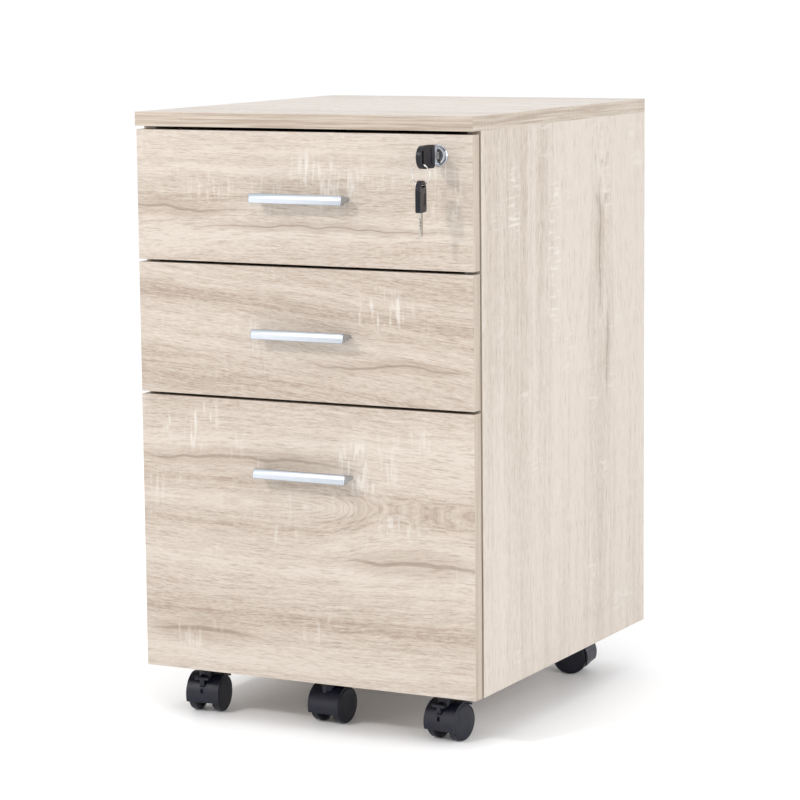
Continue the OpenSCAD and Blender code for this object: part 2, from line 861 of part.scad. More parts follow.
// Half section of a wheel: distance from the axle, then distance from the caster's middle
module wheel_section() {
    bore = axle_r + running_fit;
    blind = axle_l / 2 + 0.1;
    polygon([[0, blind], [bore, blind], [bore, wheel_inner], [hub_r, wheel_inner],
        [hub_r, wheel_inner + 2], [wheel_r - 3.5, wheel_inner + 2], [wheel_r - 3.5, wheel_inner],
        [wheel_r - 0.8, wheel_inner], [wheel_r, wheel_inner + 0.8], [wheel_r, wheel_outer - 2],
        [wheel_r - 0.6, wheel_outer - 0.9], [wheel_r - 2, wheel_outer - 0.4],
        [wheel_r - 2.6, wheel_outer - 0.9], [wheel_r - 3.2, wheel_outer - 0.4],
        [wheel_r / 2, wheel_outer], [0, wheel_outer]]);
}

module caster_wheels(c) {
    color("black") at_caster(c) translate([0, trail, wheel_r]) {
        both_sides() rotate([0, 90, 0]) rotate_extrude($fn = 96) wheel_section();
        rotate([0, 90, 0]) cylinder(r = axle_r, h = axle_l, center = true);
    }
}

// The pedal is a lever on a pin in the hood's slot, with a cross bar to step on
module brake_pedal(c) {
    color("dimgray") at_caster(c) translate([0, trail, 0]) {
        along_x(pedal_w) polygon([[-23, bar_low], [-23, bar_high - 1], [-22, bar_high],
            [-18, bar_high], [-18, bar_low]]);
        along_x(pedal_stem_w)
            polygon([[-22, bar_low + 1], [-18, bar_low + 1], [-16.5, pedal_pivot_z + 3],
                [-13, pedal_pivot_z + 2], [-13, pedal_pivot_z - 2], [-15, pedal_pivot_z - 2.8],
                [-17, pedal_pivot_z - 2], [-17.6, pedal_pivot_z + 0.2],
                [-21, pedal_pivot_z + 0.2], [-21.6, pedal_pivot_z + 2]]);
        translate([0, pedal_pivot_y, pedal_pivot_z]) rotate([0, 90, 0])
            cylinder(r = pedal_pin_r, h = core_w - 4, center = true, $fn = 32);
    }
}

// ---- Nodes --------------------------------------------------------------------------------

top_panel();
mirror([1, 0, 0]) side_panel();  // left_side_panel
side_panel();  // right_side_panel
back_panel();
bottom_panel();
cam_nuts();
cam_bolts();
wooden_dowels();
cabinet_rails();
cabinet_screws();
caster_plates();
lock_bar_guides();
lock_bar();
sliding_rails(TOP);  // top_sliding_rails
sliding_rails(MIDDLE);  // middle_sliding_rails
sliding_rails(BOTTOM);  // bottom_sliding_rails
drawer_front(TOP);  // top_drawer_front
mirror([1, 0, 0]) right_wall(TOP);  // top_drawer_left_wall
right_wall(TOP);  // top_drawer_right_wall
back_wall(TOP);  // top_drawer_back_wall
drawer_base(TOP);  // top_drawer_base
handle(TOP);  // top_drawer_handle
drawer_rails(TOP);  // top_drawer_rails
drawer_fasteners(TOP);  // top_drawer_fasteners
drawer_front(MIDDLE);  // middle_drawer_front
mirror([1, 0, 0]) right_wall(MIDDLE);  // middle_drawer_left_wall
right_wall(MIDDLE);  // middle_drawer_right_wall
back_wall(MIDDLE);  // middle_drawer_back_wall
drawer_base(MIDDLE);  // middle_drawer_base
handle(MIDDLE);  // middle_drawer_handle
drawer_rails(MIDDLE);  // middle_drawer_rails
drawer_fasteners(MIDDLE);  // middle_drawer_fasteners
drawer_front(BOTTOM);  // bottom_drawer_front
mirror([1, 0, 0]) right_wall(BOTTOM);  // bottom_drawer_left_wall
right_wall(BOTTOM);  // bottom_drawer_right_wall
back_wall(BOTTOM);  // bottom_drawer_back_wall
drawer_base(BOTTOM);  // bottom_drawer_base
handle(BOTTOM);  // bottom_drawer_handle
drawer_rails(BOTTOM);  // bottom_drawer_rails
drawer_fasteners(BOTTOM);  // bottom_drawer_fasteners
hanging_file_rails();
centre_caster_block();
centre_caster_plate();
lock_housing();
lock_plug();
key();
key_ring();
spare_key();
caster_hood(FRONT_LEFT, true);  // front_left_hood
caster_wheels(FRONT_LEFT);  // front_left_wheels
brake_pedal(FRONT_LEFT);  // front_left_brake_pedal
caster_hood(FRONT_RIGHT, true);  // front_right_hood
caster_wheels(FRONT_RIGHT);  // front_right_wheels
brake_pedal(FRONT_RIGHT);  // front_right_brake_pedal
caster_hood(REAR_LEFT, false);  // rear_left_hood
caster_wheels(REAR_LEFT);  // rear_left_wheels
caster_hood(REAR_RIGHT, false);  // rear_right_hood
caster_wheels(REAR_RIGHT);  // rear_right_wheels
caster_hood(CENTRE, false);  // centre_hood
caster_wheels(CENTRE);  // centre_wheels
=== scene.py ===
import math

import bmesh
import bpy
from mathutils import Matrix, Vector


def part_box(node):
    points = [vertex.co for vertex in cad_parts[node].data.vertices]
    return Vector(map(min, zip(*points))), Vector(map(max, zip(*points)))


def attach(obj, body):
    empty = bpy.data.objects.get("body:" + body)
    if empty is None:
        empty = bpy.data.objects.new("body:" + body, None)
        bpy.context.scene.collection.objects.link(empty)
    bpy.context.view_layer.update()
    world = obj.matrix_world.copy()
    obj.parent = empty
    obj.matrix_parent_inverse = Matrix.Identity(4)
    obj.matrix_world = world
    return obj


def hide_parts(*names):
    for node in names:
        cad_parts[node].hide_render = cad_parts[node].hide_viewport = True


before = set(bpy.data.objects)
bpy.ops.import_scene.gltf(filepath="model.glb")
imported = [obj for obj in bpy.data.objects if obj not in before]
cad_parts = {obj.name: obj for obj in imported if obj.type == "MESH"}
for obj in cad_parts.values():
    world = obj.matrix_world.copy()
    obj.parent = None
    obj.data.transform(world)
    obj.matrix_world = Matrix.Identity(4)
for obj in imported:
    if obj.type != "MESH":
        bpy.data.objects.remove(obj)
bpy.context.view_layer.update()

DRAWERS = ("top", "middle", "bottom")
CASTERS = ("front_left", "front_right", "rear_left", "rear_right", "centre")

# ---- Camera -------------------------------------------------------------------------------

CAMERA_AT = (1.5254, -2.8917, 0.7976)
CAMERA_YAW = -0.48204      # radians, turned left of +Y
CAMERA_PITCH = -0.14159    # radians, looking down
CAMERA_ROLL = -0.00978     # radians
CAMERA_LENS = 134.67       # mm
CAMERA_SENSOR = 36         # mm wide


def make_camera():
    forward = Vector((
        math.sin(CAMERA_YAW) * math.cos(CAMERA_PITCH),
        math.cos(CAMERA_YAW) * math.cos(CAMERA_PITCH),
        math.sin(CAMERA_PITCH),
    ))
    level_right = Vector((math.cos(CAMERA_YAW), -math.sin(CAMERA_YAW), 0))
    level_up = level_right.cross(forward)
    right = level_right * math.cos(CAMERA_ROLL) + level_up * math.sin(CAMERA_ROLL)
    up = right.cross(forward)
    turn = Matrix((right, up, -forward)).transposed().to_4x4()
    data = bpy.data.cameras.new("camera")
    data.lens = CAMERA_LENS
    data.sensor_width = CAMERA_SENSOR
    data.clip_start = 0.05
    data.clip_end = 200
    camera = bpy.data.objects.new("camera", data)
    camera.matrix_world = Matrix.Translation(CAMERA_AT) @ turn
    bpy.context.scene.collection.objects.link(camera)
    bpy.context.scene.camera = camera


# ---- Lights and floor ---------------------------------------------------------------------

TARGET = Vector((0, 0, 0.35))
WORLD_STRENGTH = 1.085
FLOOR_HALF = 60
FLOOR_LOW = (0.92, 0.922, 0.93)
FLOOR_HIGH = (0.93, 0.932, 0.94)
FLOOR_ROUGHNESS = 0.55
# Azimuth and elevation in degrees, distance and diameter in metres, power in watts, colour
LIGHTS = {
    "key_light": (-21, 32, 3.6, 0.34, 41, (1.0, 0.98, 0.96)),
    "top_light": (20, 78, 2.6, 2.2, 8, (1.0, 1.0, 1.0)),
    "side_light": (70, 16, 3.2, 2.4, 48, (0.96, 0.98, 1.0)),
    "low_light": (-40, 6, 3.0, 1.6, 8, (1.0, 0.96, 0.94)),
}


def area_light(name, azimuth, elevation, distance, size, power, colour):
    """A round lamp aimed at the cabinet. Azimuth 0 is in front of it and 90 is +X."""
    a, e = math.radians(azimuth), math.radians(elevation)
    way = Vector((math.sin(a) * math.cos(e), -math.cos(a) * math.cos(e), math.sin(e)))
    data = bpy.data.lights.new(name, "AREA")
    data.shape = "DISK"
    data.size = size
    data.energy = power
    data.color = colour
    lamp = bpy.data.objects.new(name, data)
    lamp.location = TARGET + way * distance
    lamp.rotation_mode = "QUATERNION"
    lamp.rotation_quaternion = (-way).to_track_quat("-Z", "Y")
    bpy.context.scene.collection.objects.link(lamp)


def make_light():
    world = bpy.data.worlds.new("studio")
    world.use_nodes = True
    sky = world.node_tree.nodes["Background"]
    sky.inputs["Color"].default_value = (1, 1, 1, 1)
    sky.inputs["Strength"].default_value = WORLD_STRENGTH
    bpy.context.scene.world = world
    for name, values in LIGHTS.items():
        area_light(name, *values)
    bpy.context.scene.view_settings.view_transform = "Standard"


def make_floor():
    h = FLOOR_HALF
    mesh = bpy.data.meshes.new("floor")
    mesh.from_pydata([(-h, -h, 0), (h, -h, 0), (h, h, 0), (-h, h, 0)], [], [(0, 1, 2, 3)])
    floor = bpy.data.objects.new("floor", mesh)
    bpy.context.scene.collection.objects.link(floor)
    paper, nt, shader = new_material("floor_paper")
    shader.inputs["Roughness"].default_value = FLOOR_ROUGHNESS
    tone = noise(nt, object_coords(nt), 6, detail=3)
    link(nt, ramp(nt, tone, [(0.3, FLOOR_LOW), (0.7, FLOOR_HIGH)]), shader, "Base Color")
    floor.data.materials.append(paper)


# ---- Node helpers -------------------------------------------------------------------------


def srgb(r, g, b):
    """Linear colour from values of 0 to 255 as a screen shows them."""
    return tuple(
        c / 255 / 12.92 if c <= 10 else ((c / 255 + 0.055) / 1.055) ** 2.4 for c in (r, g, b))


def new_material(name):
    material = bpy.data.materials.new(name)
    material.use_nodes = True
    nt = material.node_tree
    return material, nt, nt.nodes["Principled BSDF"]


def link(nt, output, node, socket):
    nt.links.new(output, node.inputs[socket])


def feed(nt, node, socket, value):
    """Links a socket, or sets a plain value."""
    if isinstance(value, bpy.types.NodeSocket):
        nt.links.new(value, node.inputs[socket])
    else:
        node.inputs[socket].default_value = value


def object_coords(nt):
    return nt.nodes.new("ShaderNodeTexCoord").outputs["Object"]


def math_node(nt, operation, a, b=0.0, c=0.0):
    node = nt.nodes.new("ShaderNodeMath")
    node.operation = operation
    feed(nt, node, 0, a)
    feed(nt, node, 1, b)
    feed(nt, node, 2, c)
    return node.outputs[0]


def combine(nt, x, y, z=0.0):
    node = nt.nodes.new("ShaderNodeCombineXYZ")
    feed(nt, node, 0, x)
    feed(nt, node, 1, y)
    feed(nt, node, 2, z)
    return node.outputs[0]


def separate(nt, vector):
    node = nt.nodes.new("ShaderNodeSeparateXYZ")
    link(nt, vector, node, 0)
    return node.outputs


def scaled(nt, vector, scale, offset=(0, 0, 0)):
    node = nt.nodes.new("ShaderNodeMapping")
    link(nt, vector, node, "Vector")
    node.inputs["Scale"].default_value = scale
    node.inputs["Location"].default_value = offset
    return node.outputs[0]


def noise(nt, vector, scale, detail=2.0, roughness=0.5, distortion=0.0):
    node = nt.nodes.new("ShaderNodeTexNoise")
    link(nt, vector, node, "Vector")
    node.inputs["Scale"].default_value = scale
    node.inputs["Detail"].default_value = detail
    node.inputs["Roughness"].default_value = roughness
    node.inputs["Distortion"].default_value = distortion
    return node.outputs[0]


def remap(nt, value, low, high, to_low=0.0, to_high=1.0):
    """Eases from to_low to to_high while the value goes from low to high."""
    node = nt.nodes.new("ShaderNodeMapRange")
    node.interpolation_type = "SMOOTHSTEP"
    feed(nt, node, "Value", value)
    feed(nt, node, "From Min", low)
    feed(nt, node, "From Max", high)
    feed(nt, node, "To Min", to_low)
    feed(nt, node, "To Max", to_high)
    return node.outputs[0]


def ramp(nt, value, stops):
    node = nt.nodes.new("ShaderNodeValToRGB")
    link(nt, value, node, 0)
    elements = node.color_ramp.elements
    while len(elements) < len(stops):
        elements.new(0.5)
    for element, (position, colour) in zip(elements, stops):
        element.position = position
        element.color = (*colour, 1)
    return node.outputs[0]


def mix_colour(nt, factor, a, b):
    node = nt.nodes.new("ShaderNodeMix")
    node.data_type = "RGBA"
    feed(nt, node, 0, factor)
    for socket, value in ((6, a), (7, b)):
        if isinstance(value, bpy.types.NodeSocket):
            nt.links.new(value, node.inputs[socket])
        else:
            node.inputs[socket].default_value = (*value, 1)
    return node.outputs[2]


def bump(nt, shader, height, strength, distance):
    node = nt.nodes.new("ShaderNodeBump")
    node.inputs["Strength"].default_value = strength
    node.inputs["Distance"].default_value = distance
    link(nt, height, node, "Height")
    nt.links.new(node.outputs[0], shader.inputs["Normal"])


# ---- Oak-effect melamine ------------------------------------------------------------------

OAK_PALE = srgb(187, 177, 167)
OAK_MID = srgb(170, 158, 146)
OAK_DARK = srgb(142, 126, 111)
OAK_PORE = srgb(114, 98, 84)
OAK_SAWN = srgb(200, 194, 187)
BAND_PALE = srgb(177, 166, 153)
BAND_DARK = srgb(148, 133, 118)
PORES = 0.36               # how strongly each mark covers the colour below it
VEIN_WASH = 0.34
VEIN_LINE = 0.5
SAW_MARKS = 0.7
VEIN_LINE_WIDTH = 0.16     # of its wash's width
VEIN_SWING = 0.022         # how far a vein waves, in metres
SWAY = 0.034               # how far slow and fast waves bend the lines, in metres
RIPPLE = 0.005
TIP_LENGTH = 0.06          # half the length over which the arches close
TIP_DEPTH = 0.022
FACING = (0.6, 0.75)       # normals between these blend the face into the banding


def near(nt, u, v, cu, cv, length, width):
    """1 at the middle of an oval patch, falling to 0 at its edge."""
    away = nt.nodes.new("ShaderNodeVectorMath")
    away.operation = "LENGTH"
    link(nt, scaled(nt, combine(nt, u, v), (1 / length, 1 / width, 0),
        (-cu / length, -cv / width, 0)), away, 0)
    return remap(nt, away.outputs["Value"], 1.0, 0.5)


def oak_grain(nt, u, v, seed, pith, tip, tilt, sawn, veins, gain):
    """Colour and height of oak decor. u runs along the grain and v across it, in metres.

    pith is the v that the figure is centred on, tip the u at which its arches end and tilt
    the slope of its lines. sawn holds the patches of saw marks and veins the wavy dark
    lines, each as a centre and half-lengths (u, v, length, width). gain makes the whole
    board paler; on the top panel and the right side panel that paler colour is painted light.
    """
    place = combine(nt, u, v, seed)
    sway = noise(nt, scaled(nt, place, (2.2, 9, 1)), 1, detail=2)
    ripple = noise(nt, scaled(nt, place, (11, 46, 1), (3, 1, 5)), 1, detail=2)
    across = math_node(nt, "SUBTRACT", math_node(nt, "MULTIPLY_ADD", u, tilt, v), pith)
    depth = remap(nt, u, tip - TIP_LENGTH, tip + TIP_LENGTH, 0.0, TIP_DEPTH)
    radius = math_node(nt, "SQRT", math_node(nt, "ADD",
        math_node(nt, "MULTIPLY", across, across), math_node(nt, "MULTIPLY", depth, depth)))
    ring = math_node(nt, "MULTIPLY_ADD", sway, SWAY, radius)
    ring = math_node(nt, "MULTIPLY_ADD", ripple, RIPPLE, ring)
    lines = combine(nt, ring, u, seed)
    broad = noise(nt, scaled(nt, lines, (30, 1.0, 1)), 1, detail=2, roughness=0.5)
    bands = noise(nt, scaled(nt, lines, (130, 2.6, 1), (7, 2, 3)), 1, detail=3, roughness=0.65)
    fibres = noise(nt, scaled(nt, lines, (620, 26, 1), (1, 5, 9)), 1, detail=3, roughness=0.7)
    dashes = noise(nt, scaled(nt, lines, (900, 48, 1), (4, 8, 2)), 1, detail=2)
    specks = noise(nt, scaled(nt, lines, (900, 130, 1), (8, 3, 4)), 1, detail=3, roughness=0.7)
    tone = math_node(nt, "MULTIPLY_ADD", broad, 0.3, math_node(nt, "MULTIPLY", bands, 0.16))
    tone = math_node(nt, "MULTIPLY_ADD", fibres, 0.24, tone)
    tone = math_node(nt, "MULTIPLY_ADD", specks, 0.3, tone)
    tone = math_node(nt, "ADD", tone, gain)
    colour = ramp(nt, tone, [(0.38, OAK_DARK), (0.48, OAK_MID), (0.58, OAK_PALE)])
    pores = remap(nt, dashes, 0.55, 0.72)
    colour = mix_colour(nt, math_node(nt, "MULTIPLY", pores, PORES), colour, OAK_PORE)
    wave = noise(nt, scaled(nt, place, (14, 3, 1), (2, 6, 8)), 1, detail=2)
    middle = math_node(nt, "SUBTRACT", v, VEIN_SWING / 2)
    bent = math_node(nt, "MULTIPLY_ADD", wave, VEIN_SWING, middle)
    for cu, cv, length, width in veins:
        wash = near(nt, u, bent, cu, cv, length, width)
        line = near(nt, u, bent, cu, cv, length, width * VEIN_LINE_WIDTH)
        colour = mix_colour(nt, math_node(nt, "MULTIPLY", wash, VEIN_WASH), colour, OAK_DARK)
        colour = mix_colour(nt, math_node(nt, "MULTIPLY", line, VEIN_LINE), colour, OAK_PORE)
    # Pale saw marks run across the grain in patches
    strokes = noise(nt, scaled(nt, place, (230, 34, 1), (5, 5, 1)), 1, detail=2, distortion=0.3)
    patchy = noise(nt, scaled(nt, place, (16, 18, 1), (9, 4, 6)), 1, detail=1)
    mask = remap(nt, patchy, 0.58, 0.74, 0.0, 0.6)
    for cu, cv, length, width in sawn:
        mask = math_node(nt, "MAXIMUM", mask, near(nt, u, v, cu, cv, length, width))
    marks = math_node(nt, "MULTIPLY", remap(nt, strokes, 0.50, 0.70), mask)
    colour = mix_colour(nt, math_node(nt, "MULTIPLY", marks, SAW_MARKS), colour, OAK_SAWN)
    height = math_node(nt, "SUBTRACT", fibres, pores)
    return colour, height


def band_grain(nt, u, v, seed, contrast):
    """Colour of the narrow edge banding: fine lines along the edge."""
    lines = scaled(nt, combine(nt, v, u, seed), (420, 9, 1))
    streaks = noise(nt, lines, 1, detail=3, roughness=0.6)
    half = 0.12 / contrast
    return ramp(nt, streaks, [(0.5 - half, BAND_DARK), (0.5 + half, BAND_PALE)])


AXES = {"x": 0, "y": 1, "z": 2}


def oak_material(name, face, grain, seed, pith, tip=0.0, tilt=0.0, sawn=(), veins=(),
        band_contrast=1.0, gain=0.0, rough=(0.38, 0.5)):
    """Melamine on the two faces across axis `face`, with its grain along axis `grain`, and
    banding on the other faces."""
    material, nt, shader = new_material(name)
    xyz = separate(nt, object_coords(nt))
    normal = separate(nt, nt.nodes.new("ShaderNodeTexCoord").outputs["Normal"])
    across = next(a for a in "xyz" if a not in (face, grain))
    u, v, w = (xyz[AXES[a]] for a in (grain, across, face))
    colour, height = oak_grain(nt, u, v, seed, pith, tip, tilt, sawn, veins, gain)
    # The banding's lines run along the grain, or across it at the ends of the grain
    along = band_grain(nt, u, w, seed + 3, band_contrast)
    ends = band_grain(nt, v, w, seed + 7, band_contrast)
    at_end = remap(nt, math_node(nt, "ABSOLUTE", normal[AXES[grain]]), *FACING)
    banding = mix_colour(nt, at_end, along, ends)
    on_face = remap(nt, math_node(nt, "ABSOLUTE", normal[AXES[face]]), *FACING)
    link(nt, mix_colour(nt, on_face, banding, colour), shader, "Base Color")
    gloss = noise(nt, scaled(nt, combine(nt, u, v, w), (30, 200, 30)), 1, detail=2)
    link(nt, remap(nt, gloss, 0.3, 0.7, *rough), shader, "Roughness")
    shader.inputs["Specular IOR Level"].default_value = 0.5
    bump(nt, shader, height, 0.25, 0.0004)
    return material


# ---- Other materials ----------------------------------------------------------------------


def board_material(name):
    """Pale melamine of the drawer boxes, with a faint linen-like speckle."""
    material, nt, shader = new_material(name)
    place = object_coords(nt)
    cloud = noise(nt, scaled(nt, place, (20, 20, 60)), 1, detail=4)
    speck = noise(nt, place, 900, detail=2)
    colour = ramp(nt, cloud, [(0.35, srgb(196, 184, 170)), (0.65, srgb(212, 201, 188))])
    dots = remap(nt, speck, 0.55, 0.7, 0, 0.35)
    link(nt, mix_colour(nt, dots, colour, srgb(180, 166, 150)), shader, "Base Color")
    link(nt, remap(nt, cloud, 0.3, 0.7, 0.4, 0.55), shader, "Roughness")
    bump(nt, shader, speck, 0.1, 0.0002)
    return material


def metal_material(name, low, high, rough_low, rough_high, stretch, scratch=0.12):
    """Metal with fine lines that run along the axis whose stretch is smallest."""
    material, nt, shader = new_material(name)
    place = object_coords(nt)
    lines = noise(nt, scaled(nt, place, stretch), 1, detail=4, roughness=0.6)
    cloud = noise(nt, place, 35, detail=3)
    link(nt, ramp(nt, cloud, [(0.3, low), (0.7, high)]), shader, "Base Color")
    link(nt, remap(nt, lines, 0.3, 0.7, rough_low, rough_high), shader, "Roughness")
    shader.inputs["Metallic"].default_value = 1.0
    bump(nt, shader, lines, scratch, 0.0001)
    return material


def plastic_material(name, low, high, rough_low, rough_high, grain=2600, strength=0.12):
    """Moulded plastic with a fine erosion grain and slightly uneven gloss."""
    material, nt, shader = new_material(name)
    place = object_coords(nt)
    fine = noise(nt, place, grain, detail=2)
    cloud = noise(nt, place, 60, detail=3)
    link(nt, ramp(nt, cloud, [(0.3, low), (0.7, high)]), shader, "Base Color")
    link(nt, remap(nt, cloud, 0.3, 0.7, rough_low, rough_high), shader, "Roughness")
    shader.inputs["Specular IOR Level"].default_value = 0.35
    bump(nt, shader, fine, strength, 0.00015)
    return material


BOW_LENGTH = 0.032
BOW_BORDER = 0.0001        # half the width over which plastic turns into steel


def key_material(name, axis, edge, upwards):
    """Black plastic bow and steel blade. The bow lies past `edge` along the axis."""
    material, nt, shader = new_material(name)
    place = object_coords(nt)
    along = separate(nt, place)[AXES[axis]]
    limits = (edge - BOW_BORDER, edge + BOW_BORDER)
    bow = remap(nt, along, *(limits if upwards else limits[::-1]))
    fine = noise(nt, place, 2600, detail=2)
    cloud = noise(nt, place, 90, detail=3)
    plastic = ramp(nt, cloud, [(0.3, srgb(7, 9, 18)), (0.7, srgb(12, 15, 26))])
    steel = ramp(nt, cloud, [(0.3, srgb(178, 174, 166)), (0.7, srgb(206, 203, 196))])
    link(nt, mix_colour(nt, bow, steel, plastic), shader, "Base Color")
    link(nt, math_node(nt, "SUBTRACT", 1.0, bow), shader, "Metallic")
    shader.inputs["Specular IOR Level"].default_value = 0.3
    link(nt, remap(nt, cloud, 0.3, 0.7, 0.28, 0.4), shader, "Roughness")
    bump(nt, shader, fine, 0.1, 0.0001)
    return material


def beech_material(name):
    material, nt, shader = new_material(name)
    lines = noise(nt, scaled(nt, object_coords(nt), (60, 900, 900)), 1, detail=3)
    link(nt, ramp(nt, lines, [(0.3, srgb(190, 150, 110)), (0.7, srgb(222, 186, 146))]),
        shader, "Base Color")
    link(nt, remap(nt, lines, 0.3, 0.7, 0.55, 0.75), shader, "Roughness")
    bump(nt, shader, lines, 0.3, 0.0003)
    return material


# ---- Handles ------------------------------------------------------------------------------

BAR_THICKNESS = 0.0075
BAR_LEAN = 0.36            # slope of the bar's upper front face
LEAN_START = 0.06          # shares of the lean: just above the middle, near the top, at the top
LEAN_NEAR_TOP = 0.85
LEAN_TOP = 1.35
BAR_SOFT = 0.0007          # breaks the bar's long edges
BAR_END_R = 0.0018         # at the bar's ends
FOOT_LENGTH = 0.0118       # along the bar
FOOT_ROOT_HALF = 0.0023    # half the foot's height where it meets the front
FOOT_NARROWS = 0.0008      # how much a foot narrows towards the front
FOOT_INSET = 0.0002
FOOT_OVERLAP = 0.001       # how far a foot runs into the bar
END_STEPS = 5              # of a quarter turn at the bar's ends
FOOT_STEPS = 8
SMOOTH_ANGLE = 35          # degrees, faces that meet at less are shaded as one


def loft(rings):
    """Points and faces of a closed solid through rings that have equally many points."""
    count = len(rings[0])
    points = [point for ring in rings for point in ring]
    faces = [tuple(range(count))[::-1]]
    for start in range(0, len(points) - count, count):
        for i in range(count):
            j = (i + 1) % count
            faces.append((start + i, start + j, start + count + j, start + count + i))
    faces.append(tuple(range(len(points) - count, len(points))))
    return points, faces


def build(name, solids, material):
    """One object made of several (points, faces) solids."""
    points, faces = [], []
    for solid_points, solid_faces in solids:
        faces += [tuple(i + len(points) for i in face) for face in solid_faces]
        points += [tuple(point) for point in solid_points]
    mesh = bpy.data.meshes.new(name)
    mesh.from_pydata(points, [], faces)
    shape = bmesh.new()
    shape.from_mesh(mesh)
    bmesh.ops.recalc_face_normals(shape, faces=shape.faces)
    shape.to_mesh(mesh)
    shape.free()
    mesh.shade_smooth()
    mesh.set_sharp_from_angle(angle=math.radians(SMOOTH_ANGLE))
    mesh.materials.append(material)
    piece = bpy.data.objects.new(name, mesh)
    bpy.context.scene.collection.objects.link(piece)
    return piece


def rounded_rectangle(half_a, half_b, power=3.5, count=28):
    """Points of a superellipse, which is a rectangle with very round corners."""
    points = []
    for k in range(count):
        c, s = math.cos(math.tau * k / count), math.sin(math.tau * k / count)
        points.append((half_a * math.copysign(abs(c) ** (2 / power), c),
            half_b * math.copysign(abs(s) ** (2 / power), s)))
    return points


def bar_section(half_height, reach, back):
    """Outline of the bar as (distance from the drawer's front, height), from its lowest front
    point upwards: an upright lower face, a face that leans back above it, a flat back."""
    lean = BAR_LEAN * half_height
    return (
        (reach - BAR_SOFT, -half_height),
        (reach, BAR_SOFT - half_height),
        (reach, -BAR_SOFT),
        (reach - lean * LEAN_START, BAR_SOFT),
        (reach - lean * LEAN_NEAR_TOP, half_height - BAR_SOFT),
        (reach - lean * LEAN_TOP, half_height),
        (back + BAR_SOFT, half_height),
        (back, half_height - BAR_SOFT),
        (back, BAR_SOFT - half_height),
        (back + BAR_SOFT, -half_height),
    )


def bar_stations(half_length):
    """Places along the bar, each with how much its rounded end takes off the section."""
    turns = [math.pi / 2 * k / END_STEPS for k in range(END_STEPS + 1)]
    stations = [(-half_length + BAR_END_R * (1 - math.sin(t)), BAR_END_R * (1 - math.cos(t)))
        for t in reversed(turns)]
    return stations + [(-x, cut) for x, cut in reversed(stations)]


def foot_rings(x, y, z, half_height, depth):
    """Outlines of a foot from the drawer's front, at y, to `depth` before it. It widens and
    grows to the bar's height on the way."""
    rings = []
    for k in range(FOOT_STEPS + 1):
        t = k / FOOT_STEPS
        eased = t * t * (3 - 2 * t)
        half_z = FOOT_ROOT_HALF + (half_height - FOOT_INSET - FOOT_ROOT_HALF) * eased
        half_x = FOOT_LENGTH / 2 - FOOT_NARROWS * (1 - eased)
        rings.append([(x + a, y - t * depth, z + b) for a, b in rounded_rectangle(half_x, half_z)])
    return rings


def make_handle(drawer, material):
    """A bar with a two-faced front and rounded ends, on two feet that taper to the drawer."""
    low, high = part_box(f"{drawer}_drawer_handle")
    centre = (low + high) / 2
    half_length, _, half_height = (high - low) / 2
    reach = high.y - low.y
    back = reach - BAR_THICKNESS
    bar_rings = []
    for x, cut in bar_stations(half_length):
        section = bar_section(half_height - cut, reach - cut, back)
        bar_rings.append([(centre.x + x, high.y - out, centre.z + z) for out, z in section])
    solids = [loft(bar_rings)]
    for side in (-1, 1):
        x = centre.x + side * (half_length - FOOT_INSET - FOOT_LENGTH / 2)
        solids.append(loft(foot_rings(x, high.y, centre.z, half_height, back + FOOT_OVERLAP)))
    handle = build(f"{drawer}_bar_handle", solids, material)
    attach(handle, f"{drawer}_drawer")
    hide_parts(f"{drawer}_drawer_handle")


# ---- Dressing the CAD nodes ---------------------------------------------------------------


BOARD_EDGE = 0.0005        # widths of the softened edges, in metres
KEY_EDGE = 0.0014
PEDAL_EDGE = 0.0004
HOOD_EDGE = 0.0006


def dress(node, material):
    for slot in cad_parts[node].material_slots:
        slot.link = "OBJECT"
        slot.material = material


def soften(node, width, segments=2, flatten=False):
    """Rounds a CAD node's sharp edges a little, with modifiers only. flatten first joins the
    triangles of flat faces."""
    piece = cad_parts[node]
    weld = piece.modifiers.new("weld", "WELD")
    weld.merge_threshold = 0.000002
    if flatten:
        flat = piece.modifiers.new("flat_faces", "DECIMATE")
        flat.decimate_type = "DISSOLVE"
        flat.angle_limit = math.radians(0.5)
    edge = piece.modifiers.new("soft_edges", "BEVEL")
    edge.width = width
    edge.segments = segments
    edge.limit_method = "ANGLE"
    edge.angle_limit = math.radians(SMOOTH_ANGLE)
    even = piece.modifiers.new("even_shading", "WEIGHTED_NORMAL")
    even.mode = "FACE_AREA_WITH_ANGLE"
    even.keep_sharp = True


def middle_height(node):
    low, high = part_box(node)
    return (low.z + high.z) / 2


def front_looks():
    """The oak figure of each drawer front, placed from the front's own middle height."""
    top, middle, bottom = (middle_height(f"{drawer}_drawer_front") for drawer in DRAWERS)
    return {
        "top": dict(seed=1.3, pith=top - 0.3, gain=0.022,
            sawn=(
                (0.03, top + 0.022, 0.055, 0.04),
                (0.165, top + 0.01, 0.03, 0.04),
            ),
            veins=(
                (0.02, top - 0.03, 0.2, 0.007),
                (-0.15, top - 0.014, 0.08, 0.012),
            )),
        "middle": dict(seed=4.7, pith=middle - 0.4, tilt=0.1, gain=-0.009,
            sawn=((0.09, middle + 0.03, 0.05, 0.03),),
            veins=((0.1, middle - 0.03, 0.12, 0.01),)),
        "bottom": dict(seed=8.6, pith=bottom + 0.04, tip=0.05, gain=-0.008,
            sawn=(
                (0.07, bottom + 0.085, 0.05, 0.035),
                (-0.14, bottom + 0.12, 0.045, 0.035),
            ),
            veins=(
                (-0.08, bottom + 0.085, 0.16, 0.014),
                (0.13, bottom - 0.012, 0.1, 0.02),
                (-0.13, bottom - 0.105, 0.08, 0.018),
            )),
    }


